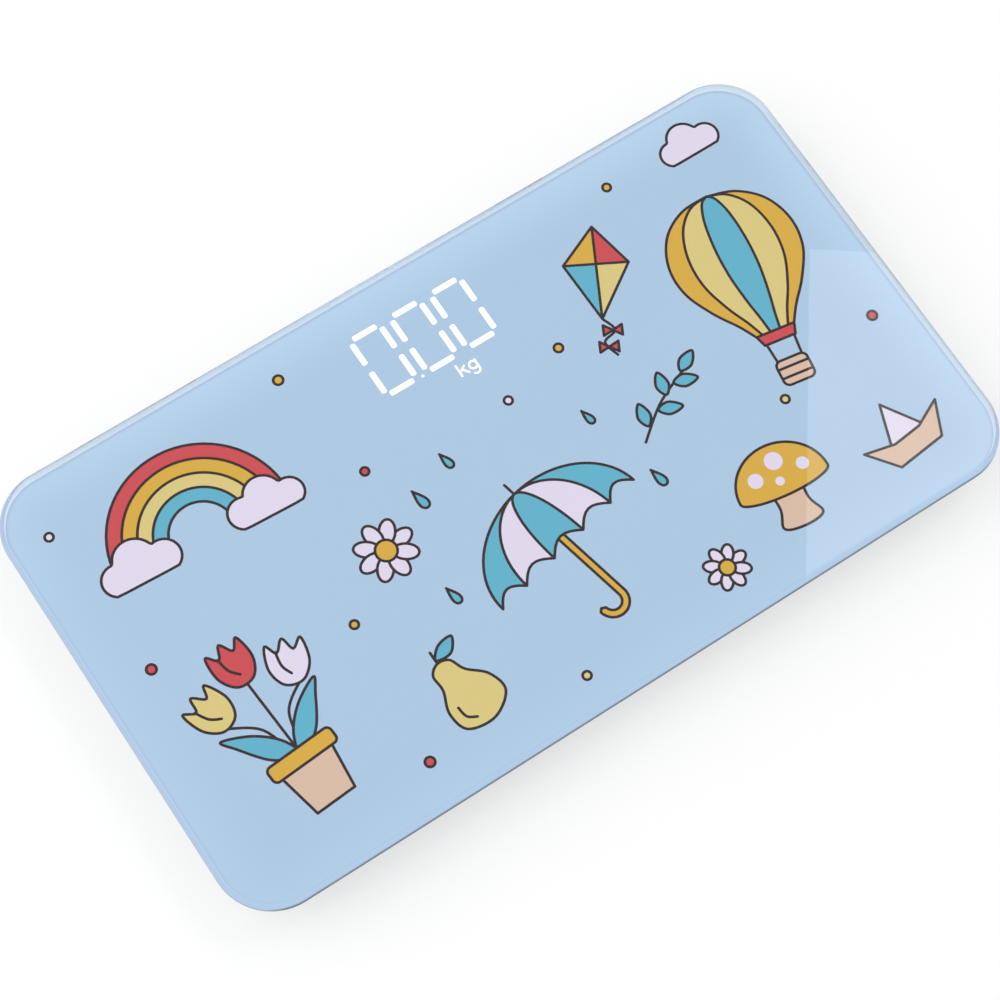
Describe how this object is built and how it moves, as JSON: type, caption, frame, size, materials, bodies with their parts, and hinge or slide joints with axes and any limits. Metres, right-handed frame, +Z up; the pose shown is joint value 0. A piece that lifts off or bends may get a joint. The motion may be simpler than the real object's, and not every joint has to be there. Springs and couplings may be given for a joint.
{
  "type": "bathroom scale",
  "caption": "Slim glass-top digital bathroom scale with a hidden LED display, load-cell feet, a unit button and a battery door underneath.",
  "frame": {"origin": "centre of the footprint on the plane that the feet stand on", "axes": "+X along the platform's long side, +Y towards the edge with the display, +Z up"},
  "size_m": [0.27, 0.15, 0.024],
  "materials": {
    "glass_platform": "clear tempered glass, ground edge",
    "print_layer": "pale blue enamel seen through the glass",
    "display_window": "translucent enamel",
    "rim_tape": "closed-cell foam tape",
    "inner_tape_pads": "closed-cell foam tape",
    "base_tray": "white ABS, fine texture",
    "load_cell": "stamped steel",
    "gauge_seals": "white silicone",
    "cell_retainers": "white plastic",
    "screw": "zinc-plated steel",
    "cell_wires": "PVC insulation in red, white and black",
    "board": "green solder mask",
    "control_chip": "black epoxy",
    "board_components": "dark components",
    "led_chips": "phosphor",
    "led_pins": "tinned brass",
    "led_case": "white reflector",
    "led_segments": "milky diffuser",
    "display_gasket": "black foam",
    "unit_switch": "black housing",
    "switch_plunger": "black",
    "unit_button": "light grey ABS",
    "battery": "printed sleeve on steel can",
    "contact": "nickel-plated steel",
    "battery_wires": "PVC insulation in red and black",
    "battery_door": "white ABS, fine texture",
    "foot_shell": "white ABS",
    "foot_pad": "grey anti-slip rubber"
  },
  "bodies": {
    "base": {"glass_platform": "glass_platform", "print_layer": "print_layer", "display_window": "display_window", "rim_tape": "rim_tape", "inner_tape_pads": "inner_tape_pads", "base_tray": "base_tray", "load_cell_front_left": "load_cell", "load_cell_front_right": "load_cell", "load_cell_rear_right": "load_cell", "load_cell_rear_left": "load_cell", "gauge_seals": "gauge_seals", "cell_retainers": "cell_retainers", "retainer_screws": "screw", "cell_wires": "cell_wires", "circuit_board": "board", "control_chip": "control_chip", "board_components": "board_components", "board_screws": "screw", "led_board": "board", "led_chips": "led_chips", "led_pins": "led_pins", "led_case": "led_case", "led_segments": "led_segments", "display_gasket": "display_gasket", "unit_switch": "unit_switch", "battery_rear": "battery", "battery_front": "battery", "positive_contact": "contact", "negative_contact": "contact", "negative_spring": "contact", "bridge_contact": "contact", "bridge_spring": "contact", "battery_wires": "battery_wires"},
    "foot_front_left": {"foot_front_left": "foot_shell", "foot_pad_front_left": "foot_pad"},
    "foot_front_right": {"foot_front_right": "foot_shell", "foot_pad_front_right": "foot_pad"},
    "foot_rear_right": {"foot_rear_right": "foot_shell", "foot_pad_rear_right": "foot_pad"},
    "foot_rear_left": {"foot_rear_left": "foot_shell", "foot_pad_rear_left": "foot_pad"},
    "unit_button": {"unit_button": "unit_button", "switch_plunger": "switch_plunger"},
    "battery_door": {"battery_door": "battery_door"}
  },
  "joints": [
    {"name": "foot_front_left_press", "type": "slide", "parent": "base", "child": "foot_front_left", "axis": [0, 0, 1], "range_m": [0, 0.0004], "stiffness_N_per_m": 1100000, "deforming": ["load_cell_front_left"]},
    {"name": "foot_front_right_press", "type": "slide", "parent": "base", "child": "foot_front_right", "axis": [0, 0, 1], "range_m": [0, 0.0004], "stiffness_N_per_m": 1100000, "deforming": ["load_cell_front_right"]},
    {"name": "foot_rear_right_press", "type": "slide", "parent": "base", "child": "foot_rear_right", "axis": [0, 0, 1], "range_m": [0, 0.0004], "stiffness_N_per_m": 1100000, "deforming": ["load_cell_rear_right"]},
    {"name": "foot_rear_left_press", "type": "slide", "parent": "base", "child": "foot_rear_left", "axis": [0, 0, 1], "range_m": [0, 0.0004], "stiffness_N_per_m": 1100000, "deforming": ["load_cell_rear_left"]},
    {"name": "unit_button_press", "type": "slide", "parent": "base", "child": "unit_button", "axis": [0, 0, 1], "range_m": [0, 0.0003], "stiffness_N_per_m": 5300},
    {"name": "battery_door_swing", "type": "hinge", "parent": "base", "child": "battery_door", "pos_m": [0, 0.0023, 0.005], "axis": [1, 0, 0], "range_deg": [0, 80]}
  ]
}
